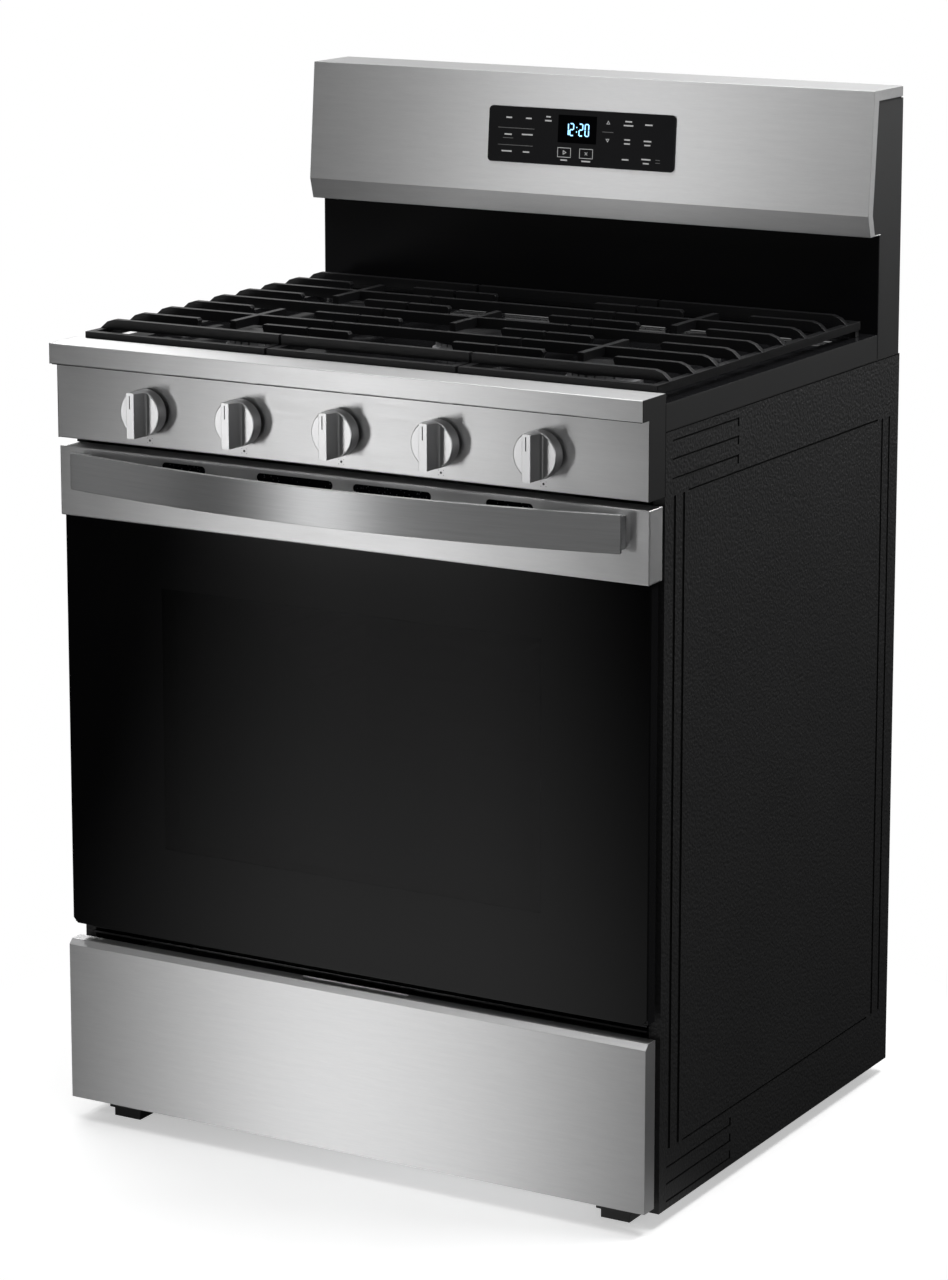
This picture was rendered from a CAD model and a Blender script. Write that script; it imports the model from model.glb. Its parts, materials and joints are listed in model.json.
# %% [markdown]
# A freestanding gas range, dressed for its portrait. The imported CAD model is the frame: every
# body, joint and size comes from it. This lesson keeps that frame still and gives each piece its
# edges, its finish and its small details, so that the range looks right from all sides and goes
# on moving as the CAD model says.

# %% Load the frame and keep its size
import json
import math

import bmesh
import bpy
from mathutils import Matrix, Vector


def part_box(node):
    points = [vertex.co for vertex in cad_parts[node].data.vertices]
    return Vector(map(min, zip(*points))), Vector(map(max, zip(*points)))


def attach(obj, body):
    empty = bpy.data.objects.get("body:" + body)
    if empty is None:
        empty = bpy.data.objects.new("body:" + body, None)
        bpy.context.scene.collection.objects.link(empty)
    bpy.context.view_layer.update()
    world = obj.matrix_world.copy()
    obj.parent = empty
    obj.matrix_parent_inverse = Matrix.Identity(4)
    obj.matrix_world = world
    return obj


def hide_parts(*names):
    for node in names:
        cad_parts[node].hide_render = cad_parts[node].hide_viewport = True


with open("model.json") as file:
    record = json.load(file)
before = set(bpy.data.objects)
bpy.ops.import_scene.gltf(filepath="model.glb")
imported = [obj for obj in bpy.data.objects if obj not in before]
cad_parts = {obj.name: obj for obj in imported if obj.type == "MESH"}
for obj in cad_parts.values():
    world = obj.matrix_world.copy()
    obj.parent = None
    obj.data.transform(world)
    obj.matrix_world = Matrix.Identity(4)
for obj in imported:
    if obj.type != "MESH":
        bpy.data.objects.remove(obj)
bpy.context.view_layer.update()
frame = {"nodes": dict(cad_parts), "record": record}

NODES = frame["nodes"]
RECORD = frame["record"]
BODY_OF = {node: body for body, nodes in RECORD["behaviour"]["bodies"].items() for node in nodes}
SLOT_OF = {part["node"]: part["material_slot"] for part in RECORD["subparts"]}
MM = 0.001

# %% [markdown]
# The camera stands a little to the right of the door and slightly above the cooktop, far away
# with a long lens, as for a catalogue picture. A small downward shift of the lens lifts the
# range in the frame without tilting its upright edges.

# %% Camera
AIM = Vector((-0.0002, 0.0, 0.7738))
AZIMUTH = math.radians(30.05)
ELEVATION = math.radians(10.787)
DISTANCE = 4.6736
FOCAL_LENGTH = 114.16
SENSOR_WIDTH = 36.0
LENS_SHIFT = -0.14
FAR_END = 200.0
camera_data = bpy.data.cameras.new("portrait_lens")
camera_data.lens = FOCAL_LENGTH
camera_data.sensor_width = SENSOR_WIDTH
camera_data.shift_y = LENS_SHIFT
camera_data.clip_end = FAR_END
camera = bpy.data.objects.new("portrait_camera", camera_data)
bpy.context.scene.collection.objects.link(camera)
toward_camera = Vector((
    math.sin(AZIMUTH) * math.cos(ELEVATION),
    -math.cos(AZIMUTH) * math.cos(ELEVATION),
    math.sin(ELEVATION),
))
camera.location = AIM + toward_camera * DISTANCE
camera.rotation_euler = (-toward_camera).to_track_quat("-Z", "Y").to_euler()
bpy.context.scene.camera = camera
print("camera at", [round(v, 3) for v in camera.location])

# %% [markdown]
# A studio for metal and black enamel: a pale floor that runs out to a white surround, and soft
# lamps all round. The brushed fronts mirror the low lamp on the left, and the large one overhead
# lights the cooktop and the grates. Weaker ones above both flanks, behind and in front pick out
# the side panels, the backguard, the knobs, the bowed handle and the rear edges. The surround
# looks white, but it lights the range less than it shows, or the black parts would turn grey.

# %% Studio
FLOOR_RADIUS = 40.0
SURROUND_SHOWN = 1.0
SURROUND_LIGHT = 0.20
SOFTBOXES = (
    ("left_softbox", (-2.17, -3.88, 0.42), (0.0, -0.3, 0.5), 0.60, 0.80, 12.5),
    ("top_softbox", (-0.3, -0.5, 3.4), (0.0, 0.0, 0.9), 2.6, 2.2, 60.0),
    ("side_softbox_right", (0.98, 0.4, 2.3), (0.38, 0.1, 0.8), 1.0, 0.5, 28.0),
    ("side_softbox_left", (-1.6, 0.6, 2.2), (-0.38, 0.1, 0.8), 1.0, 0.5, 10.0),
    ("rear_softbox", (-1.7, 2.7, 2.4), (0.0, 0.0, 0.9), 3.0, 1.6, 10.0),
    ("front_fill", (2.7, -3.5, 1.0), (0.0, -0.3, 0.6), 0.8, 1.2, 5.0),
    ("handle_fill", (-3.2, -2.35, 0.5), (-0.3, -0.3, 0.7), 1.2, 0.8, 2.5),
    ("edge_softbox", (1.75, 2.6, 1.15), (0.38, 0.2, 0.9), 0.6, 0.8, 3.0),
)


def new_object(name, bm):
    """A mesh object from a bmesh, at the origin."""
    mesh = bpy.data.meshes.new(name)
    bm.to_mesh(mesh)
    bm.free()
    made = bpy.data.objects.new(name, mesh)
    bpy.context.scene.collection.objects.link(made)
    return made


def softbox(name, place, aim, wide, tall, watts):
    """A rectangular area light that faces a point."""
    data = bpy.data.lights.new(name, "AREA")
    data.shape = "RECTANGLE"
    data.size = wide
    data.size_y = tall
    data.energy = watts
    lamp = bpy.data.objects.new(name, data)
    lamp.location = place
    lamp.rotation_euler = (Vector(aim) - Vector(place)).to_track_quat("-Z", "Y").to_euler()
    bpy.context.scene.collection.objects.link(lamp)


world = bpy.data.worlds.new("white_surround")
bpy.context.scene.world = world
world.use_nodes = True
sky = world.node_tree
sky.nodes.clear()
seen = sky.nodes.new("ShaderNodeLightPath")
shown = sky.nodes.new("ShaderNodeMix")
shown.inputs["A"].default_value = SURROUND_LIGHT
shown.inputs["B"].default_value = SURROUND_SHOWN
backdrop = sky.nodes.new("ShaderNodeBackground")
sky_out = sky.nodes.new("ShaderNodeOutputWorld")
sky.links.new(seen.outputs["Is Camera Ray"], shown.inputs["Factor"])
sky.links.new(shown.outputs["Result"], backdrop.inputs["Strength"])
sky.links.new(backdrop.outputs["Background"], sky_out.inputs["Surface"])

for lamp_plan in SOFTBOXES:
    softbox(*lamp_plan)

bpy.context.scene.view_settings.view_transform = "Standard"
bpy.context.scene.view_settings.look = "None"

floor_bm = bmesh.new()
bmesh.ops.create_circle(floor_bm, cap_ends=True, segments=96, radius=FLOOR_RADIUS)
floor = new_object("studio_floor", floor_bm)

# %% [markdown]
# Finishes share a few effects, so each effect is a node group with named inputs, built once.
# The first one draws brush lines: noise stretched far along one direction, as an abrasive belt
# leaves it. The second one is grain, for pebbled paint and for cast metal. The third one is a
# slow, soft unevenness that every wiped surface has.

# %% Shared shader groups
def new_group(name, inputs, outputs):
    """An empty shader group with float or vector sockets."""
    group = bpy.data.node_groups.new(name, "ShaderNodeTree")
    for label, kind, value in inputs:
        socket = group.interface.new_socket(name=label, in_out="INPUT", socket_type=kind)
        if value is not None:
            socket.default_value = value
    for label, kind in outputs:
        group.interface.new_socket(name=label, in_out="OUTPUT", socket_type=kind)
    start = group.nodes.new("NodeGroupInput")
    end = group.nodes.new("NodeGroupOutput")
    return group, start, end


def math_node(tree, operation, first, second):
    """A Math node whose inputs are sockets or plain numbers."""
    node = tree.nodes.new("ShaderNodeMath")
    node.operation = operation
    for index, value in enumerate((first, second)):
        if isinstance(value, (int, float)):
            node.inputs[index].default_value = value
        else:
            tree.links.new(value, node.inputs[index])
    return node.outputs["Value"]


def noise_node(tree, vector, scale, detail, rough):
    """A Noise Texture on a vector; scale may be a socket."""
    node = tree.nodes.new("ShaderNodeTexNoise")
    node.inputs["Detail"].default_value = detail
    node.inputs["Roughness"].default_value = rough
    if isinstance(scale, (int, float)):
        node.inputs["Scale"].default_value = scale
    else:
        tree.links.new(scale, node.inputs["Scale"])
    tree.links.new(vector, node.inputs["Vector"])
    return node.outputs["Fac"]


FLOAT = "NodeSocketFloat"
VECTOR = "NodeSocketVector"
WIDE_LINES = 0.22
EVEN_SHARE = 0.5

brush_lines, go, end = new_group(
    "brush_lines",
    [("Vector", VECTOR, None), ("Along", FLOAT, 4.0), ("Across", FLOAT, 700.0)],
    [("Tone", FLOAT), ("Height", FLOAT)],
)
stretch = brush_lines.nodes.new("ShaderNodeCombineXYZ")
brush_lines.links.new(go.outputs["Along"], stretch.inputs["X"])
brush_lines.links.new(go.outputs["Across"], stretch.inputs["Y"])
brush_lines.links.new(go.outputs["Across"], stretch.inputs["Z"])
scaled = brush_lines.nodes.new("ShaderNodeVectorMath")
scaled.operation = "MULTIPLY"
brush_lines.links.new(go.outputs["Vector"], scaled.inputs[0])
brush_lines.links.new(stretch.outputs["Vector"], scaled.inputs[1])
fine = noise_node(brush_lines, scaled.outputs["Vector"], 1.0, 2.0, 0.6)
wide = noise_node(brush_lines, scaled.outputs["Vector"], WIDE_LINES, 2.0, 0.5)
tone = math_node(brush_lines, "ADD", math_node(brush_lines, "MULTIPLY", fine, EVEN_SHARE),
                 math_node(brush_lines, "MULTIPLY", wide, EVEN_SHARE))
brush_lines.links.new(tone, end.inputs["Tone"])
brush_lines.links.new(fine, end.inputs["Height"])

pebble_grain, go, end = new_group(
    "pebble_grain",
    [("Vector", VECTOR, None), ("Scale", FLOAT, 300.0)],
    [("Tone", FLOAT), ("Height", FLOAT)],
)
cells = pebble_grain.nodes.new("ShaderNodeTexVoronoi")
cells.feature = "SMOOTH_F1"
cells.inputs["Smoothness"].default_value = 0.6
pebble_grain.links.new(go.outputs["Vector"], cells.inputs["Vector"])
pebble_grain.links.new(go.outputs["Scale"], cells.inputs["Scale"])
lumps = noise_node(pebble_grain, go.outputs["Vector"], go.outputs["Scale"], 2.0, 0.6)
height = math_node(pebble_grain, "SUBTRACT", lumps, cells.outputs["Distance"])
pebble_grain.links.new(lumps, end.inputs["Tone"])
pebble_grain.links.new(height, end.inputs["Height"])

soft_unevenness, go, end = new_group(
    "soft_unevenness",
    [("Vector", VECTOR, None), ("Scale", FLOAT, 6.0)],
    [("Tone", FLOAT)],
)
slow = noise_node(soft_unevenness, go.outputs["Vector"], go.outputs["Scale"], 3.0, 0.55)
soft_unevenness.links.new(slow, end.inputs["Tone"])
print("groups", [g.name for g in bpy.data.node_groups])

# %% [markdown]
# One helper lays out what all the finishes have in common: object coordinates, one grain or
# brush group, the slow unevenness, and a Principled shader whose base colour and roughness
# swing a little around their mean. Each finish below then only states its own numbers.

# %% Finish helper
MATERIALS = {}
NOISE_LOW = 0.25
NOISE_HIGH = 0.75


def span_node(tree, value, low, high):
    """Map Range from the span where noise lives to low..high."""
    node = tree.nodes.new("ShaderNodeMapRange")
    node.inputs["From Min"].default_value = NOISE_LOW
    node.inputs["From Max"].default_value = NOISE_HIGH
    node.inputs["To Min"].default_value = low
    node.inputs["To Max"].default_value = high
    tree.links.new(value, node.inputs["Value"])
    return node.outputs["Result"]


def blend_colours(tree, factor, dark, light):
    """A colour between dark and light."""
    node = tree.nodes.new("ShaderNodeMix")
    node.data_type = "RGBA"
    node.inputs["A"].default_value = (*dark, 1.0)
    node.inputs["B"].default_value = (*light, 1.0)
    tree.links.new(factor, node.inputs["Factor"])
    return node.outputs["Result"]


def finish(slot, dark, light, rough, grain=None, sizes=(), bump=0.0, depth=0.0002,
           stretch=(1, 1, 1), slow_scale=5.0, slow_share=0.35, **fixed):
    """A procedural finish for a material slot; fixed holds plain Principled inputs."""
    made = bpy.data.materials.new("finish_" + slot)
    made.use_nodes = True
    tree = made.node_tree
    shader = tree.nodes["Principled BSDF"]
    place = tree.nodes.new("ShaderNodeTexCoord")
    mapping = tree.nodes.new("ShaderNodeMapping")
    mapping.inputs["Scale"].default_value = stretch
    tree.links.new(place.outputs["Object"], mapping.inputs["Vector"])
    slow_node = tree.nodes.new("ShaderNodeGroup")
    slow_node.node_tree = soft_unevenness
    slow_node.inputs["Scale"].default_value = slow_scale
    tree.links.new(mapping.outputs["Vector"], slow_node.inputs["Vector"])
    mixed = slow_node.outputs["Tone"]
    if grain is not None:
        grain_node = tree.nodes.new("ShaderNodeGroup")
        grain_node.node_tree = grain
        tree.links.new(mapping.outputs["Vector"], grain_node.inputs["Vector"])
        for label, value in sizes:
            grain_node.inputs[label].default_value = value
        mixed = math_node(tree, "ADD",
                          math_node(tree, "MULTIPLY", grain_node.outputs["Tone"], 1 - slow_share),
                          math_node(tree, "MULTIPLY", slow_node.outputs["Tone"], slow_share))
        if bump > 0:
            relief = tree.nodes.new("ShaderNodeBump")
            relief.inputs["Strength"].default_value = bump
            relief.inputs["Distance"].default_value = depth
            tree.links.new(grain_node.outputs["Height"], relief.inputs["Height"])
            tree.links.new(relief.outputs["Normal"], shader.inputs["Normal"])
    tree.links.new(blend_colours(tree, span_node(tree, mixed, 0.0, 1.0), dark, light),
                   shader.inputs["Base Color"])
    tree.links.new(span_node(tree, mixed, *rough), shader.inputs["Roughness"])
    for label, value in fixed.items():
        shader.inputs[label.replace("_", " ")].default_value = value
    MATERIALS[slot] = made
    return made


# %% [markdown]
# The metals. Brushed stainless is the face of this range: its lines run from side to side on
# every front, so highlights smear upwards. The tangent points along the lines; a touch of depth
# in it keeps it from standing square on the flanks. The knobs are cast and satin plated, so they
# have a finer and rounder sheen than the folded sheet.

# %% Metals
LINES_SIDEWAYS = 1.0
LINES_DEEP = 0.02
ANISOTROPY = 0.95
QUARTER_TURN = 0.25


def smear_highlights(made):
    """Stretches the highlights of a brushed finish across its lines."""
    tree = made.node_tree
    shader = tree.nodes["Principled BSDF"]
    tangent = tree.nodes.new("ShaderNodeCombineXYZ")
    tangent.inputs["X"].default_value = LINES_SIDEWAYS
    tangent.inputs["Y"].default_value = LINES_DEEP
    tree.links.new(tangent.outputs["Vector"], shader.inputs["Tangent"])
    shader.inputs["Anisotropic"].default_value = ANISOTROPY
    shader.inputs["Anisotropic Rotation"].default_value = QUARTER_TURN


finish("stainless", (0.585, 0.585, 0.59), (0.655, 0.655, 0.655), (0.33, 0.39), brush_lines,
       [("Along", 80.0), ("Across", 1000.0)], 0.15, 0.00005, slow_share=0.15, Metallic=1.0)
finish("handle_steel", (0.50, 0.505, 0.51), (0.64, 0.64, 0.645), (0.34, 0.42), brush_lines,
       [("Along", 30.0), ("Across", 1300.0)], 0.1, 0.00004, stretch=(1, 0, 1), slow_share=0.1,
       Metallic=1.0)
for brushed in ("stainless", "handle_steel"):
    smear_highlights(MATERIALS[brushed])
finish("knob_satin", (0.60, 0.60, 0.605), (0.70, 0.70, 0.705), (0.30, 0.38), pebble_grain,
       [("Scale", 2600.0)], 0.05, 0.00004, slow_share=0.3, Metallic=1.0)
finish("galvanised", (0.42, 0.43, 0.44), (0.58, 0.59, 0.60), (0.38, 0.55), pebble_grain,
       [("Scale", 90.0)], 0.1, 0.0001, Metallic=0.9)
finish("wire_chrome", (0.62, 0.62, 0.63), (0.74, 0.74, 0.75), (0.14, 0.24), pebble_grain,
       [("Scale", 700.0)], 0.05, 0.00005, Metallic=1.0)
finish("brass", (0.60, 0.44, 0.18), (0.78, 0.60, 0.28), (0.24, 0.36), brush_lines,
       [("Along", 900.0), ("Across", 1200.0)], 0.1, 0.00005, Metallic=1.0)
finish("burner_alloy", (0.42, 0.42, 0.43), (0.60, 0.60, 0.61), (0.38, 0.52), pebble_grain,
       [("Scale", 900.0)], 0.3, 0.0001, Metallic=1.0)
finish("screw_steel", (0.45, 0.45, 0.46), (0.62, 0.62, 0.63), (0.28, 0.40), pebble_grain,
       [("Scale", 1200.0)], 0.1, 0.00005, Metallic=1.0)
print("metals", len(MATERIALS))

# %% [markdown]
# The black parts. The side panels carry a pebbled paint that hides fingerprints; the caps and
# the cooktop's skirt are smooth satin paint; the front frame and the cooktop are glossy enamel;
# the oven is speckled enamel; the grates are cast iron under matte enamel, with a coarse skin
# from the sand mould.

# %% Paints, enamels and cast iron
finish("side_paint", (0.026, 0.026, 0.0265), (0.036, 0.036, 0.0365), (0.42, 0.54), pebble_grain,
       [("Scale", 260.0)], 0.55, 0.0008, slow_share=0.3, Specular_IOR_Level=0.3)
finish("smooth_paint", (0.032, 0.032, 0.0325), (0.038, 0.038, 0.0385), (0.40, 0.48), pebble_grain,
       [("Scale", 1800.0)], 0.05, 0.0001, slow_share=0.6, Specular_IOR_Level=0.3)
finish("groove_shade", (0.0015, 0.0015, 0.0015), (0.003, 0.003, 0.003), (0.60, 0.70), pebble_grain,
       [("Scale", 600.0)], 0.1, 0.0001, Specular_IOR_Level=0.1)
finish("black_enamel", (0.006, 0.006, 0.0065), (0.010, 0.010, 0.011), (0.07, 0.13), pebble_grain,
       [("Scale", 1500.0)], 0.03, 0.0001, slow_share=0.7)
finish("cooktop_enamel", (0.006, 0.006, 0.0065), (0.010, 0.010, 0.011), (0.05, 0.10), pebble_grain,
       [("Scale", 160.0)], 0.01, 0.0001, slow_share=0.6)
finish("cast_iron", (0.0025, 0.0025, 0.003), (0.006, 0.006, 0.0065), (0.30, 0.44), pebble_grain,
       [("Scale", 900.0)], 0.4, 0.0003, slow_share=0.3, Specular_IOR_Level=0.34)
finish("splash_black", (0.0040, 0.0040, 0.0045), (0.0060, 0.0060, 0.0065), (0.30, 0.40),
       pebble_grain, [("Scale", 1500.0)], 0.03, 0.0001, slow_share=0.7, Specular_IOR_Level=0.04)
finish("foot_plastic", (0.010, 0.010, 0.010), (0.018, 0.018, 0.018), (0.42, 0.55), pebble_grain,
       [("Scale", 1800.0)], 0.15, 0.0001)
finish("oven_enamel", (0.020, 0.024, 0.034), (0.035, 0.040, 0.052), (0.18, 0.30), pebble_grain,
       [("Scale", 600.0)], 0.08, 0.0001)
print("finishes", len(MATERIALS))

# %% [markdown]
# Speckles in the oven enamel: ground glass of a second colour is fired into the first, so small
# pale dots lie at random. A fine Voronoi pattern gives the dots, and a threshold keeps few.

# %% Speckles for the oven enamel
SPECKLE_SCALE = 260.0
SPECKLE_SIZE = 0.22
SPECKLE_COLOUR = (0.30, 0.32, 0.36)


def add_speckles(made, scale, size, colour):
    """Mixes small dots over the base colour of a finish."""
    tree = made.node_tree
    shader = tree.nodes["Principled BSDF"]
    place = tree.nodes.new("ShaderNodeTexCoord")
    dots = tree.nodes.new("ShaderNodeTexVoronoi")
    dots.inputs["Scale"].default_value = scale
    tree.links.new(place.outputs["Object"], dots.inputs["Vector"])
    near = math_node(tree, "LESS_THAN", dots.outputs["Distance"], size)
    base = shader.inputs["Base Color"].links[0].from_socket
    over = tree.nodes.new("ShaderNodeMix")
    over.data_type = "RGBA"
    over.inputs["B"].default_value = (*colour, 1.0)
    tree.links.new(near, over.inputs["Factor"])
    tree.links.new(base, over.inputs["A"])
    tree.links.new(over.outputs["Result"], shader.inputs["Base Color"])


add_speckles(MATERIALS["oven_enamel"], SPECKLE_SCALE, SPECKLE_SIZE, SPECKLE_COLOUR)

# %% [markdown]
# Glass, ceramics and soft materials. The door's outer glass is printed black on its back, so it
# shows as deep black gloss. Clear and smoked glass keep a plain transmission. Mineral wool and
# the woven door rope are fibres, so their grain is deep.

# %% Glass, ceramic, wool and rope
finish("door_glass", (0.0014, 0.0014, 0.0016), (0.0024, 0.0024, 0.0026), (0.03, 0.07), None,
       slow_scale=3.0)
finish("display_glass", (0.004, 0.004, 0.005), (0.007, 0.007, 0.008), (0.03, 0.07), None,
       slow_scale=9.0)
finish("clear_glass", (0.84, 0.86, 0.855), (0.88, 0.90, 0.895), (0.01, 0.03), None, slow_scale=3.0,
       Transmission_Weight=1.0, IOR=1.46)
finish("smoked_glass", (0.11, 0.11, 0.113), (0.13, 0.13, 0.133), (0.01, 0.03), None, slow_scale=3.0,
       Transmission_Weight=1.0, IOR=1.46)
finish("lamp_glass", (0.80, 0.78, 0.72), (0.90, 0.88, 0.82), (0.30, 0.40), None, slow_scale=20.0,
       Transmission_Weight=0.7)
finish("ceramic", (0.74, 0.71, 0.64), (0.86, 0.84, 0.79), (0.28, 0.40), pebble_grain,
       [("Scale", 1500.0)], 0.1, 0.0001)
finish("wool", (0.45, 0.40, 0.26), (0.72, 0.67, 0.50), (0.85, 0.98), brush_lines,
       [("Along", 60.0), ("Across", 500.0)], 1.0, 0.002)
finish("rope", (0.05, 0.05, 0.05), (0.20, 0.20, 0.20), (0.75, 0.92), pebble_grain,
       [("Scale", 500.0)], 1.0, 0.001)
missing = set(SLOT_OF.values()) - set(MATERIALS)
print("finishes", len(MATERIALS), "missing", missing)

# %% [markdown]
# The floor is pale paper. Seen directly it is lit up to the white of the surround, and only the
# part next to the range keeps its soft shadows. Seen in a reflection it is a strip of grey paper
# that runs from the door towards the lamp, between black cloths, which keeps enamel and glass
# black. A white card lies on the strip close to the drawer and lights its lower front.

# %% Floor paper
PAPER_GLOW = 0.45
SHADOW_NEAR = 0.50
SHADOW_FAR = 0.76
PAPER_SHADE = 0.52
CLOTH_SHADE = 0.02
STRIP_NORMAL = (-0.855, 0.518, 0.0)
STRIP_OFFSET = 0.205
STRIP_EDGES = (0.08, 0.52)
DOOR_EDGES = (0.05, 0.30)
CARD_EDGES = (0.72, 0.88)
CARD_SIDES = (0.02, 0.40)
CARD_GLOW = 0.66


def smooth_range(tree, value, start, stop, first, last):
    """A smooth step from first to last while the value goes from start to stop."""
    node = tree.nodes.new("ShaderNodeMapRange")
    node.interpolation_type = "SMOOTHSTEP"
    node.inputs["From Min"].default_value = start
    node.inputs["From Max"].default_value = stop
    node.inputs["To Min"].default_value = first
    node.inputs["To Max"].default_value = last
    tree.links.new(value, node.inputs["Value"])
    return node.outputs["Result"]


def emission(tree, strength):
    """A white Emission shader whose strength is a socket or a number."""
    node = tree.nodes.new("ShaderNodeEmission")
    if isinstance(strength, (int, float)):
        node.inputs["Strength"].default_value = strength
    else:
        tree.links.new(strength, node.inputs["Strength"])
    return node.outputs["Emission"]


def add_or_mix(tree, kind, first, second, factor=None):
    """An Add Shader, or a Mix Shader when it has a factor."""
    node = tree.nodes.new(kind)
    if factor is not None:
        tree.links.new(factor, node.inputs["Fac"])
    offset = 0 if factor is None else 1
    tree.links.new(first, node.inputs[offset])
    tree.links.new(second, node.inputs[offset + 1])
    return node.outputs["Shader"]


paper = finish("studio_floor", (0.86, 0.86, 0.86), (0.90, 0.90, 0.90), (0.55, 0.65), None)
tree = paper.node_tree
where = tree.nodes.new("ShaderNodeTexCoord")
away = tree.nodes.new("ShaderNodeVectorMath")
away.operation = "LENGTH"
tree.links.new(where.outputs["Object"], away.inputs[0])
real_paper = add_or_mix(tree, "ShaderNodeAddShader",
                        tree.nodes["Principled BSDF"].outputs["BSDF"], emission(tree, PAPER_GLOW))
fade = smooth_range(tree, away.outputs["Value"], SHADOW_NEAR, SHADOW_FAR, 0.0, 1.0)
direct = add_or_mix(tree, "ShaderNodeMixShader", real_paper, emission(tree, SURROUND_SHOWN), fade)

across = tree.nodes.new("ShaderNodeVectorMath")
across.operation = "DOT_PRODUCT"
across.inputs[1].default_value = STRIP_NORMAL
tree.links.new(where.outputs["Object"], across.inputs[0])
centred = math_node(tree, "ADD", across.outputs["Value"], STRIP_OFFSET)
aside = math_node(tree, "ABSOLUTE", centred, 0.0)
split = tree.nodes.new("ShaderNodeSeparateXYZ")
tree.links.new(where.outputs["Object"], split.inputs["Vector"])
ahead = math_node(tree, "MULTIPLY", split.outputs["Y"], -1.0)
strip_mask = math_node(tree, "MULTIPLY", smooth_range(tree, aside, *STRIP_EDGES, 1.0, 0.0),
                       smooth_range(tree, ahead, *DOOR_EDGES, 0.0, 1.0))
dull = tree.nodes.new("ShaderNodeBsdfDiffuse")
strip_tone = math_node(tree, "MULTIPLY", strip_mask, PAPER_SHADE)
tree.links.new(math_node(tree, "MAXIMUM", strip_tone, CLOTH_SHADE), dull.inputs["Color"])
card_shape = math_node(tree, "MULTIPLY", smooth_range(tree, aside, *CARD_SIDES, 1.0, 0.0),
                       smooth_range(tree, ahead, *CARD_EDGES, 1.0, 0.0))
card_mask = math_node(tree, "MULTIPLY", card_shape, strip_mask)
card = emission(tree, math_node(tree, "MULTIPLY", card_mask, CARD_GLOW))
mirrored = add_or_mix(tree, "ShaderNodeAddShader", dull.outputs["BSDF"], card)
path = tree.nodes.new("ShaderNodeLightPath")
seen_floor = add_or_mix(tree, "ShaderNodeMixShader", mirrored, direct,
                        path.outputs["Is Camera Ray"])
tree.links.new(seen_floor, tree.nodes["Material Output"].inputs["Surface"])
floor.data.materials.append(paper)
print("floor strip", STRIP_EDGES, "card", CARD_EDGES)

# %% [markdown]
# Dressing a CAD node. The CAD model has the exact shape but knife-sharp edges, and no real sheet
# or casting has those. A copy of the node's mesh is merged, its flat triangles are joined into
# whole faces, and a small bevel goes on every sharp edge, so edges catch the light. The outer
# folds of sheet metal get a wider one first. The copy rides on the node's own body and stands in
# for it. Two tables below give each node's bevel and the folds, both in millimetres.

# %% Dress a CAD node
SHARP = math.radians(28)
SHALLOW_FOLD = math.radians(17)
NEARLY_FLAT = math.radians(0.2)
MERGE_DISTANCE = 2e-6
FOLD_SEGMENTS = 6
FOLD_LENGTH = 15 * MM
FOLD_WALL = 3 * MM
BASIN_FLOOR_Z = 0.903
BASIN_ROUND = 7.5 * MM
BASIN_SEGMENTS = 6


def shade(bm, angle):
    """Smooth faces, with sharp edges kept where the surface turns by more than angle."""
    bm.normal_update()
    for face in bm.faces:
        face.smooth = True
    for edge in bm.edges:
        edge.smooth = len(edge.link_faces) != 2 or edge.calc_face_angle(0.0) < angle


def copy_of(node):
    """A merged bmesh copy of a CAD node, in place."""
    source = NODES[node]
    bm = bmesh.new()
    bm.from_mesh(source.data)
    bm.transform(source.matrix_world)
    bmesh.ops.remove_doubles(bm, verts=bm.verts, dist=MERGE_DISTANCE)
    bmesh.ops.dissolve_limit(bm, angle_limit=NEARLY_FLAT, verts=bm.verts, edges=bm.edges)
    return bm


def sharp_edges(bm, angle=SHARP):
    """The edges where two faces meet at more than angle."""
    chosen = []
    for edge in bm.edges:
        if len(edge.link_faces) == 2 and edge.calc_face_angle(0.0) > angle:
            chosen.append(edge)
    return chosen


def bevel(bm, edges, radius, segments, clamp=True):
    """Rounds the given edges of a bmesh."""
    bmesh.ops.bevel(bm, geom=edges, offset=radius, offset_type="OFFSET", segments=segments,
                    profile=0.5, affect="EDGES", clamp_overlap=clamp, material=-1)


def soften(bm, radius, segments=2):
    """Rounds the sharp edges of a bmesh."""
    bevel(bm, sharp_edges(bm), radius, segments)


def soften_folds(bm, radius):
    """Rounds the outer folds of sheet metal: long edges between two faces wider than a wall."""
    folds = []
    for edge in sharp_edges(bm):
        length = edge.calc_length()
        widths = [face.calc_area() / max(e.calc_length() for e in face.edges)
                  for face in edge.link_faces]
        if length > FOLD_LENGTH and min(widths) > FOLD_WALL and edge.is_convex:
            folds.append(edge)
    bevel(bm, folds, radius, FOLD_SEGMENTS)


def round_basin(bm):
    """A hollow round where the basin's floor meets its walls, as pressed enamel has."""
    rim = [edge for edge in sharp_edges(bm) if not edge.is_convex
           and all(abs(vert.co.z - BASIN_FLOOR_Z) < 0.4 * MM for vert in edge.verts)]
    bevel(bm, rim, BASIN_ROUND, BASIN_SEGMENTS, clamp=False)
    print("basin edges rounded", len(rim))


def place_piece(name, bm, body, slot, *nodes, angle=SHARP):
    """Makes the object, gives it its finish and lets it ride on its body."""
    shade(bm, angle)
    piece = new_object(name, bm)
    piece.data.materials.append(MATERIALS[slot])
    level = piece.modifiers.new("flat_faces_stay_flat", "WEIGHTED_NORMAL")
    level.keep_sharp = True
    level.weight = 100
    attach(piece, body)
    if nodes:
        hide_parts(*nodes)
    return piece


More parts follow.
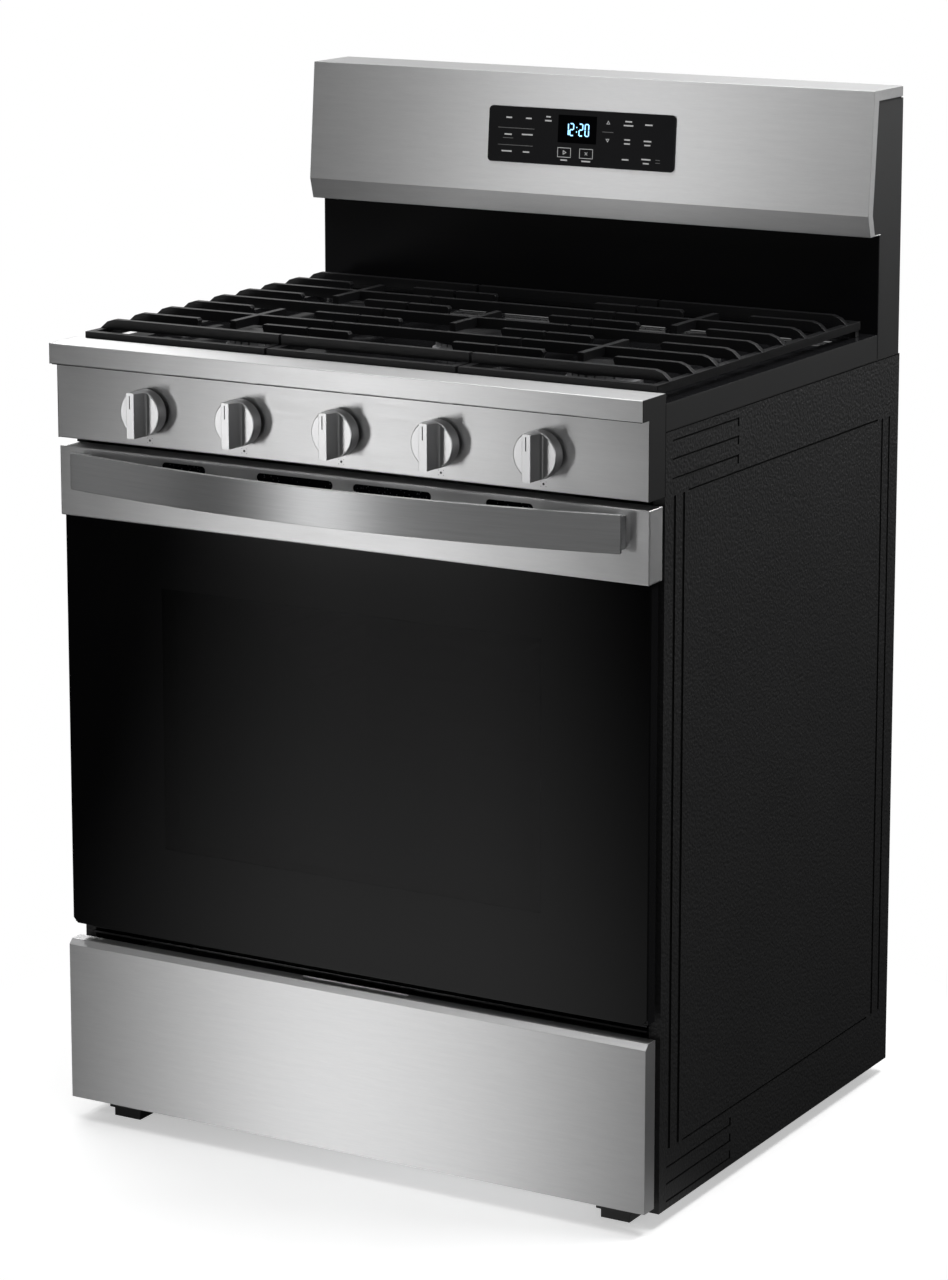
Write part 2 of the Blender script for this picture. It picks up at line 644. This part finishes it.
def dress(node, radius, fold):
    """A softened stand-in for a CAD node; fold is the radius of its outer folds, if any."""
    bm = copy_of(node)
    if fold > 0:
        soften_folds(bm, fold)
    if node == "cooktop":
        round_basin(bm)
    soften(bm, radius)
    angle = SHALLOW_FOLD if node == "backguard_face" else SHARP
    return place_piece(node + "_dressed", bm, BODY_OF[node], SLOT_OF[node], node, angle=angle)


def repaint(piece, look):
    """Gives a dressed piece another finish than its slot's."""
    piece.data.materials[0] = MATERIALS[look]


def paint_flanks(piece, look, beyond):
    """Gives the faces that look sideways, further out than beyond, a second finish."""
    piece.data.materials.append(MATERIALS[look])
    for face in piece.data.polygons:
        if abs(face.normal.x) > 0.9 and abs(face.center.x) > beyond:
            face.material_index = 1


DRESSED = {
    "control_panel": 0.25, "door_band": 0.25, "drawer_front": 0.4, "backguard_face": 0.25,
    "door_handle": 0.8, "handle_posts": 0.5, "display_glass": 0.3, "panel_end_caps": 0.2,
    "cooktop": 0.5, "backguard_splash": 0.4, "backguard_housing": 0.2, "burner_heads": 0.6,
    "burner_caps": 0.8, "igniters": 0.4, "pressure_regulator": 0.8, "door_shell": 0.3,
    "grate_left": 1.3, "grate_centre": 1.3, "grate_right": 1.3,
    "foot_front_left": 0.8, "foot_front_right": 0.8, "foot_rear_left": 0.8, "foot_rear_right": 0.8,
    "rack_upper": 1.2, "rack_lower": 1.2, "back_panel": 0.2, "base_frame": 0.3,
    "front_frame": 0.3, "oven_liner": 0.3, "oven_floor_panel": 0.3, "fan_cover": 0.3,
    "convection_fan": 0.3, "drawer_box": 0.3, "door_liner": 0.3, "door_hinge_arms": 0.3,
    "drawer_rails": 0.3, "oven_burners": 0.4, "gas_valves": 0.4, "oven_lamp": 1.0,
    "door_gasket": 1.5,
}
FOLDS = {"control_panel": 1.6, "door_band": 1.6, "drawer_front": 1.8, "backguard_face": 1.6,
         "oven_liner": 3.0, "drawer_box": 1.5, "door_liner": 2.5}
SKIRT_X = 0.372
for node, radius in DRESSED.items():
    dressed = dress(node, radius * MM, FOLDS.get(node, 0.0) * MM)
    if node == "backguard_splash":
        repaint(dressed, "splash_black")
    if node in ("panel_end_caps", "backguard_housing"):
        repaint(dressed, "smooth_paint")
    if node == "cooktop":
        paint_flanks(dressed, "smooth_paint", SKIRT_X)
    print(node, len(dressed.data.polygons))

# %% [markdown]
# Knobs: each is a turned disc with a chamfered rim and a tapered grip across it. The disc is a
# profile spun round the knob's axis. The grip is one cross-section, hollow where it meets the
# disc, drawn out along the height and then trimmed by planes to the disc's own round outline.

# %% Knob parts
KNOBS = ["knob_%d" % number for number in range(1, 6)]
KNOB_R = 26.4
DISC_BACK = 0.0
DISC_FACE = 16.0
DISC_STEPS = 72
GRIP_R = KNOB_R - 0.5
GRIP_ROUND = 0.5 * MM
GRIP_SHARP = math.radians(40)
GRIP_SIDE = ((13.2, -0.4), (11.8, -0.05), (10.3, 0.5), (9.2, 1.5), (8.5, 2.9), (8.0, 4.6),
             (5.2, 17.6), (4.7, 18.0))


def spun_disc(bm):
    """The knob's disc around the Y axis; y is 0 at its back and negative towards the front."""
    profile = ((0.0, DISC_BACK), (24.6, DISC_BACK), (KNOB_R - 0.4, 1.2), (KNOB_R, 2.6),
               (KNOB_R, DISC_FACE - 1.8), (KNOB_R - 0.4, DISC_FACE - 0.7),
               (KNOB_R - 1.4, DISC_FACE), (0.0, DISC_FACE))
    verts = [bm.verts.new((r * MM, -out * MM, 0.0)) for r, out in profile]
    edges = [bm.edges.new(pair) for pair in zip(verts, verts[1:])]
    bmesh.ops.spin(bm, geom=verts + edges, cent=(0, 0, 0), axis=(0, 1, 0), angle=2 * math.pi,
                   steps=DISC_STEPS, use_merge=True)
    bmesh.ops.remove_doubles(bm, verts=bm.verts, dist=1e-6)
    bmesh.ops.recalc_face_normals(bm, faces=bm.faces)


def trim(bm, point, outward):
    """Cuts off what lies beyond a plane and closes the cut."""
    geom = list(bm.verts) + list(bm.edges) + list(bm.faces)
    bmesh.ops.bisect_plane(bm, geom=geom, plane_co=point, plane_no=outward, clear_outer=True)
    rim = [edge for edge in bm.edges if edge.is_boundary]
    bmesh.ops.holes_fill(bm, edges=rim, sides=0)


def drawn_grip():
    """The grip across the disc, trimmed to a round outline."""
    bm = bmesh.new()
    outline = [(x, DISC_FACE + out) for x, out in GRIP_SIDE]
    ring = outline + [(-x, out) for x, out in reversed(outline)]
    verts = [bm.verts.new((x * MM, -out * MM, -KNOB_R * MM)) for x, out in ring]
    face = bm.faces.new(verts)
    drawn = bmesh.ops.extrude_face_region(bm, geom=[face])["geom"]
    moved = [item for item in drawn if isinstance(item, bmesh.types.BMVert)]
    bmesh.ops.translate(bm, vec=(0, 0, 2 * KNOB_R * MM), verts=moved)
    bmesh.ops.recalc_face_normals(bm, faces=bm.faces)
    for end in (0, 180):
        for tilt in range(-28, 29, 7):
            angle = math.radians(end + tilt)
            outward = Vector((math.sin(angle), 0, math.cos(angle)))
            trim(bm, outward * GRIP_R * MM, outward)
    bevel(bm, sharp_edges(bm, GRIP_SHARP), GRIP_ROUND, 2)
    return bm


def add_mesh(first, second):
    """Adds the second bmesh to the first and frees it."""
    shape = bpy.data.meshes.new("shape")
    second.to_mesh(shape)
    second.free()
    first.from_mesh(shape)
    bpy.data.meshes.remove(shape)


def add_block(bm, size, centre):
    """Adds a box to a bmesh."""
    corners = bmesh.ops.create_cube(bm, size=1.0)["verts"]
    bmesh.ops.scale(bm, vec=size, verts=corners)
    bmesh.ops.translate(bm, vec=centre, verts=corners)


# %% Knobs
LINE_SIZE = (1.0 * MM, 0.4 * MM, 15.0 * MM)
LINE_ASIDE = 0.5 * MM
LINE_BELOW_TOP = 11.2 * MM
LINE_OUT = (DISC_FACE + GRIP_SIDE[-1][1] + 0.1) * MM
for knob in KNOBS:
    low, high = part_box(knob)
    centre = ((low[0] + high[0]) / 2, high[1], (low[2] + high[2]) / 2)
    disc = bmesh.new()
    spun_disc(disc)
    add_mesh(disc, drawn_grip())
    bmesh.ops.translate(disc, vec=centre, verts=disc.verts)
    place_piece(knob + "_turned", disc, BODY_OF[knob], SLOT_OF[knob], knob)
    line = bmesh.new()
    spot = (centre[0] - LINE_ASIDE, centre[1] - LINE_OUT, high[2] - LINE_BELOW_TOP)
    add_block(line, LINE_SIZE, spot)
    place_piece(knob + "_line", line, BODY_OF[knob], "foot_plastic")
print("knobs", len(KNOBS))

# %% [markdown]
# The lip of the control panel overhangs it by the width of a finger. The two are separate
# foldings, so a dark joint runs under the lip's front edge.

# %% Joint under the lip
LIP_LOW, LIP_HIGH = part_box("control_panel")
LIP_UNDERSIDE = 0.8995
JOINT_SHORTER = 3.0 * MM
JOINT_DEEP = 3.0 * MM
JOINT_TALL = 0.8 * MM
JOINT_BACK = 2.8 * MM
joint = bmesh.new()
add_block(joint, (LIP_HIGH[0] - LIP_LOW[0] - JOINT_SHORTER, JOINT_DEEP, JOINT_TALL),
          (0, LIP_LOW[1] + JOINT_BACK, LIP_UNDERSIDE - JOINT_TALL / 2))
soften(joint, 0.3 * MM)
place_piece("lip_joint", joint, "range_body", "foot_plastic")

# %% [markdown]
# Under each knob a dark dot is printed on the panel, with four much finer ones in a square
# around it. They stand for the burners.

# %% Burner dots under the knobs
PANEL_FRONT = -0.289
DOT_Z = 0.8205
DOT_LIFT = 0.1 * MM
DOT_SEGMENTS = 16
DOTS = ((0, 0, 1.4), (-3.2, 2.6, 0.4), (3.2, 2.6, 0.4), (-3.2, -2.6, 0.4), (3.2, -2.6, 0.4))
for knob in KNOBS:
    low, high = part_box(knob)
    middle = (low[0] + high[0]) / 2
    dots = bmesh.new()
    for side, up, size in DOTS:
        turned = Matrix.Rotation(math.pi / 2, 4, "X")
        spot = Matrix.Translation((middle + side * MM, PANEL_FRONT - DOT_LIFT, DOT_Z + up * MM))
        bmesh.ops.create_circle(dots, cap_ends=True, segments=DOT_SEGMENTS, radius=size * MM,
                                matrix=spot @ turned)
    place_piece(knob + "_dots", dots, "range_body", "foot_plastic")

# %% [markdown]
# The side panels are pressed with shallow grooves that stiffen the sheet. They are cut here as
# real relief: the flat faces are split along the grooves' edges, and the strips between the cuts
# are inset and pushed in.

# %% Side panels with pressed grooves
LEVEL_HALF = 1.2
FRONT_HALF = 2.6
REAR_HALF = 2.1
STUB_WIDE = 3.4
GROOVE_DEPTH = 0.9
GROOVE_SLOPE = 0.7
FRONT_Y = (-236.0, -79.0)
OUTER_X = 0.3778
SLIVER = 1e-6
SMALL_FACE = 1e-5


def groove_boxes():
    """The grooves of a side panel as (y0, y1, z0, z1), in millimetres."""
    boxes = []
    for z in (870.0, 850.0, 829.0):
        boxes.append((*FRONT_Y, z - LEVEL_HALF, z + LEVEL_HALF))
        boxes.append((FRONT_Y[1] - STUB_WIDE, FRONT_Y[1], z - 9.0, z))
    for z in (65.0, 46.0, 26.0):
        boxes.append((*FRONT_Y, z - LEVEL_HALF, z + LEVEL_HALF))
        boxes.append((FRONT_Y[1] - STUB_WIDE, FRONT_Y[1], z, z + 9.0))
    uprights = ((-230.0, FRONT_HALF), (-209.0, FRONT_HALF), (297.0, REAR_HALF),
                (317.0, REAR_HALF))
    for y, half in uprights:
        boxes.append((y - half, y + half, 85.0, 810.5))
    for z in (811.0, 85.0):
        boxes.append((-198.0, 284.0, z - LEVEL_HALF, z + LEVEL_HALF))
    return boxes


def press_grooves(bm, side):
    """Splits the panel's flat faces along the grooves and pushes the strips in."""
    boxes = groove_boxes()
    levels_y = sorted({value for box in boxes for value in box[:2]})
    levels_z = sorted({value for box in boxes for value in box[2:]})
    cuts = [((0, value * MM, 0), (0, 1, 0)) for value in levels_y]
    cuts += [((0, 0, value * MM), (0, 0, 1)) for value in levels_z]
    for point, outward in cuts:
        walls = [f for f in bm.faces if abs(f.normal.x) > 0.9 and f.calc_area() > SLIVER]
        rims = list(dict.fromkeys(edge for face in walls for edge in face.edges))
        bmesh.ops.bisect_plane(bm, geom=walls + rims, plane_co=point, plane_no=outward)

    def in_groove(face):
        centre = face.calc_center_median() / MM
        return any(b[0] < centre.y < b[1] and b[2] < centre.z < b[3] for b in boxes)

    outer = [f for f in bm.faces if f.normal.x * side > 0.9 and in_groove(f)
             and f.calc_center_median().x * side > OUTER_X]
    bmesh.ops.inset_region(bm, faces=outer, thickness=GROOVE_SLOPE * MM,
                           depth=-GROOVE_DEPTH * MM, use_even_offset=True)
    walls = {face for strip in outer for vert in strip.verts for face in vert.link_faces}
    for face in walls:
        if face in outer or abs(face.normal.x) < 0.9 or face.calc_area() < SMALL_FACE:
            face.material_index = 1
    return len(outer)


for node, side in (("side_panel_left", -1), ("side_panel_right", 1)):
    panel = copy_of(node)
    count = press_grooves(panel, side)
    piece = place_piece(node + "_pressed", panel, BODY_OF[node], SLOT_OF[node], node)
    piece.data.materials.append(MATERIALS["groove_shade"])
    print(node, "groove faces", count, "faces", len(piece.data.polygons))

# %% [markdown]
# Between the cooktop's skirt, the end cap of the control panel and the side panel there are
# narrow open seams. They show as dark lines, so each is a thin dark strip along the joint.

# %% Seams on the flanks
SEAM_X = 0.37792
SEAM_THICK = 0.0002
SEAM_WIDE = 0.0014
SEAM_ROUND = 0.00005
FLANK_SEAMS = {"skirt_seam": ((-0.2525, 0.3425), (0.8814, 0.8814)),
               "cap_seam": ((-0.2525, -0.2525), (0.8130, 0.9115))}
for seam, ((y0, y1), (z0, z1)) in FLANK_SEAMS.items():
    strips = bmesh.new()
    for x in (-SEAM_X, SEAM_X):
        size = (SEAM_THICK, max(y1 - y0, SEAM_WIDE), max(z1 - z0, SEAM_WIDE))
        add_block(strips, size, (x, (y0 + y1) / 2, (z0 + z1) / 2))
    soften(strips, SEAM_ROUND, 1)
    strip_piece = place_piece(seam, strips, "range_body", "foot_plastic")
    repaint(strip_piece, "groove_shade")
print("seams", len(FLANK_SEAMS))

# %% [markdown]
# The door's outer glass is one sheet: printed black from behind, except for a smoked window in
# its middle. Glass that lets light through and glass that doesn't need two finishes, so the
# sheet is cut into a window and its border. The cuts lie flush and can't be seen.

# %% Outer door glass
WINDOW = ((-0.245, 0.245), (0.345, 0.650))


def slab(low_x, high_x, low_z, high_z):
    """The part of the outer door glass between four upright and level cuts."""
    bm = copy_of("door_glass_outer")
    cuts = (((low_x, 0, 0), (-1, 0, 0)), ((high_x, 0, 0), (1, 0, 0)),
            ((0, 0, low_z), (0, 0, -1)), ((0, 0, high_z), (0, 0, 1)))
    for point, outward in cuts:
        trim(bm, point, outward)
    return bm


glass_low, glass_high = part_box("door_glass_outer")
(west, east), (lower, upper) = WINDOW
pane = slab(west, east, lower, upper)
window_pane = place_piece("door_window_pane", pane, BODY_OF["door_glass_outer"], "smoked_glass")
border = bmesh.new()
for bounds in ((glass_low[0] - 1, west, glass_low[2] - 1, glass_high[2] + 1),
               (east, glass_high[0] + 1, glass_low[2] - 1, glass_high[2] + 1),
               (west, east, glass_low[2] - 1, lower), (west, east, upper, glass_high[2] + 1)):
    add_mesh(border, slab(*bounds))
place_piece("door_glass_border", border, BODY_OF["door_glass_outer"], "door_glass",
            "door_glass_outer")

# %% [markdown]
# The clock panel: a black glass with a darker window, blue seven-segment digits, and white and
# grey printed marks. All marks here are generic dashes, arrows and keys. Each is a thin flat
# shape that lies on the glass, so every one is drawn in the glass's own plane: u runs to the
# right and v down, both from 0 to 1.

# %% Clock panel: place on the glass
GLASS_LOW, GLASS_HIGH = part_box("display_glass")
GLASS_WIDE = GLASS_HIGH[0] - GLASS_LOW[0]
LEAN = math.atan2(12.0, 143.0)
GLASS_TALL = (GLASS_HIGH[2] - GLASS_LOW[2]) / math.cos(LEAN)
MARK_LIFT = 0.12 * MM
INK_DARKEST = 0.85


def glass_frame():
    """The matrix from the panel's flat drawing, in metres, to its place."""
    turn = Matrix.Rotation(-LEAN, 4, "X")
    foot = Vector((0.0, GLASS_LOW[1] - MARK_LIFT, GLASS_LOW[2]))
    return Matrix.Translation(foot) @ turn


ON_GLASS = glass_frame()


def mark_material(name, colour, glow):
    """A printed or lit mark with a little unevenness in its ink."""
    darkest = tuple(INK_DARKEST * channel for channel in colour)
    made = finish(name, darkest, colour, (0.35, 0.45), None, slow_scale=900.0)
    if glow > 0:
        shader = made.node_tree.nodes["Principled BSDF"]
        shader.inputs["Emission Color"].default_value = (*colour, 1.0)
        shader.inputs["Emission Strength"].default_value = glow
    return made


mark_material("white_print", (0.80, 0.80, 0.80), 0.0)
mark_material("grey_print", (0.16, 0.16, 0.16), 0.0)
mark_material("blue_light", (0.30, 0.66, 1.0), 2.2)
finish("window_black", (0.0012, 0.0012, 0.0015), (0.002, 0.002, 0.0025), (0.05, 0.09), None,
       Specular_IOR_Level=0.02)


def flat_bar(bm, u, v, wide, tall):
    """A thin bar centred at (u, v), sizes in millimetres."""
    made = bmesh.ops.create_grid(bm, x_segments=1, y_segments=1, size=0.5)["verts"]
    bmesh.ops.scale(bm, vec=(wide * MM, tall * MM, 1.0), verts=made)
    bmesh.ops.rotate(bm, cent=(0, 0, 0), matrix=Matrix.Rotation(math.pi / 2, 3, "X"), verts=made)
    centre = ((u - 0.5) * GLASS_WIDE, 0.0, (1 - v) * GLASS_TALL)
    bmesh.ops.translate(bm, vec=centre, verts=made)
    return made


def on_glass(name, bm, slot):
    """Places a flat drawing on the glass as a piece of its own."""
    bm.transform(ON_GLASS)
    piece = new_object(name, bm)
    piece.data.materials.append(MATERIALS[slot])
    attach(piece, BODY_OF["display_glass"])


# %% Clock panel: window and digits
SEGMENTS = {"0": "abcdef", "1": "bc", "2": "abged"}
DIGIT_WIDE = 3.6
DIGIT_TALL = 14.0
STROKE = 1.3
STROKE_ASIDE = 1.35
STROKE_GAP = 0.6
CLOCK_WINDOW = (0.481, 0.345, 52.0, 33.0)
DIGITS = (("1", 0.424), ("2", 0.452), ("2", 0.501), ("0", 0.533))
DIGIT_V = 0.352
COLON_U = 0.478
COLON_V = (0.31, 0.39)


def draw_digit(bm, digit, u, v):
    """One seven-segment digit centred at (u, v)."""
    step_u = DIGIT_WIDE / 2 * MM / GLASS_WIDE
    step_v = DIGIT_TALL / 4 * MM / GLASS_TALL
    long = DIGIT_TALL / 2 - STROKE * STROKE_GAP
    spots = {
        "a": (0, -2, DIGIT_WIDE, STROKE), "g": (0, 0, DIGIT_WIDE, STROKE),
        "d": (0, 2, DIGIT_WIDE, STROKE),
        "b": (STROKE_ASIDE, -1, STROKE, long), "c": (STROKE_ASIDE, 1, STROKE, long),
        "f": (-STROKE_ASIDE, -1, STROKE, long), "e": (-STROKE_ASIDE, 1, STROKE, long),
    }
    for key in SEGMENTS[digit]:
        side, down, wide, tall = spots[key]
        flat_bar(bm, u + side * step_u, v + down * step_v, wide, tall)


window = bmesh.new()
flat_bar(window, *CLOCK_WINDOW)
on_glass("clock_window", window, "window_black")
ON_GLASS = Matrix.Translation((0, -MARK_LIFT, 0)) @ ON_GLASS
digits = bmesh.new()
for digit, u in DIGITS:
    draw_digit(digits, digit, u, DIGIT_V)
for v in COLON_V:
    flat_bar(digits, COLON_U, v, STROKE, STROKE)
on_glass("clock_digits", digits, "blue_light")

# %% Clock panel: printed marks
WHITE_LABELS = (
    (0.111, 0.20, 8), (0.218, 0.20, 8), (0.324, 0.15, 6), (0.324, 0.22, 9),
    (0.109, 0.50, 10), (0.213, 0.49, 15), (0.104, 0.80, 14), (0.210, 0.80, 9),
    (0.416, 0.90, 9), (0.534, 0.90, 12), (0.753, 0.155, 9), (0.753, 0.225, 13),
    (0.860, 0.195, 10), (0.749, 0.475, 8), (0.749, 0.545, 8), (0.857, 0.48, 10),
    (0.857, 0.55, 8), (0.743, 0.825, 9), (0.853, 0.80, 12), (0.853, 0.87, 8),
)
GREY_LABELS = ((0.151, 0.385, 50), (0.151, 0.69, 48), (0.109, 0.565, 14), (0.645, 0.36, 15),
               (0.915, 0.80, 6), (0.915, 0.85, 6))
WHITE_TALL = 1.7
GREY_TALL = 0.8
KEYS_U = (0.416, 0.534)
KEY_V = 0.765
KEY_WIDE = 17.5
KEY_TALL = 11.0
KEY_LINE = 0.7
CROSS_LONG = 5.0
ARROWS = ((0.416, 0.765, 3.3, 0), (0.645, 0.20, 2.9, 90), (0.645, 0.50, 2.9, 270))
white = bmesh.new()
for u, v, wide in WHITE_LABELS:
    flat_bar(white, u, v, wide, WHITE_TALL)
grey = bmesh.new()
for u, v, wide in GREY_LABELS:
    flat_bar(grey, u, v, wide, GREY_TALL)


def key_outline(bm, u, v):
    """Four thin bars around a key."""
    step_u = KEY_WIDE / 2 * MM / GLASS_WIDE
    step_v = KEY_TALL / 2 * MM / GLASS_TALL
    flat_bar(bm, u, v - step_v, KEY_WIDE + KEY_LINE, KEY_LINE)
    flat_bar(bm, u, v + step_v, KEY_WIDE + KEY_LINE, KEY_LINE)
    flat_bar(bm, u - step_u, v, KEY_LINE, KEY_TALL)
    flat_bar(bm, u + step_u, v, KEY_LINE, KEY_TALL)


def triangle(bm, u, v, size, turn):
    """An outlined triangle that points to turn degrees; size is its outer radius."""
    middle = Vector(((u - 0.5) * GLASS_WIDE, 0.0, (1 - v) * GLASS_TALL))
    rings = []
    for radius in (size * MM, size * 0.5 * MM):
        points = [math.radians(turn + 120 * corner) for corner in range(3)]
        rings.append([bm.verts.new(middle + radius * Vector((math.cos(a), 0, math.sin(a))))
                      for a in points])
    outer, inner = rings
    for corner in range(3):
        after = (corner + 1) % 3
        bm.faces.new((outer[corner], outer[after], inner[after], inner[corner]))


for u in KEYS_U:
    key_outline(white, u, KEY_V)
for turn in (45, -45):
    cross = flat_bar(white, 0.5, 1.0, CROSS_LONG, KEY_LINE)
    tilt = Matrix.Rotation(math.radians(turn), 3, "Y")
    bmesh.ops.rotate(white, cent=(0, 0, 0), matrix=tilt, verts=cross)
    spot = ((KEYS_U[1] - 0.5) * GLASS_WIDE, 0.0, (1 - KEY_V) * GLASS_TALL)
    bmesh.ops.translate(white, vec=spot, verts=cross)
on_glass("panel_marks_white", white, "white_print")
on_glass("panel_marks_grey", grey, "grey_print")
arrows = bmesh.new()
for u, v, size, turn in ARROWS:
    triangle(arrows, u, v, size, turn)
on_glass("panel_arrows", arrows, "white_print")
print("clock panel", round(GLASS_WIDE, 4), "by", round(GLASS_TALL, 4))

# %% [markdown]
# The pieces that keep their CAD mesh get their finish too: it goes into their material slots.

# %% Finishes for the carried-over nodes
for node, piece in NODES.items():
    slot = SLOT_OF[node]
    if not piece.data.materials:
        piece.data.materials.append(MATERIALS[slot])
    for index in range(len(piece.data.materials)):
        piece.data.materials[index] = MATERIALS[slot]
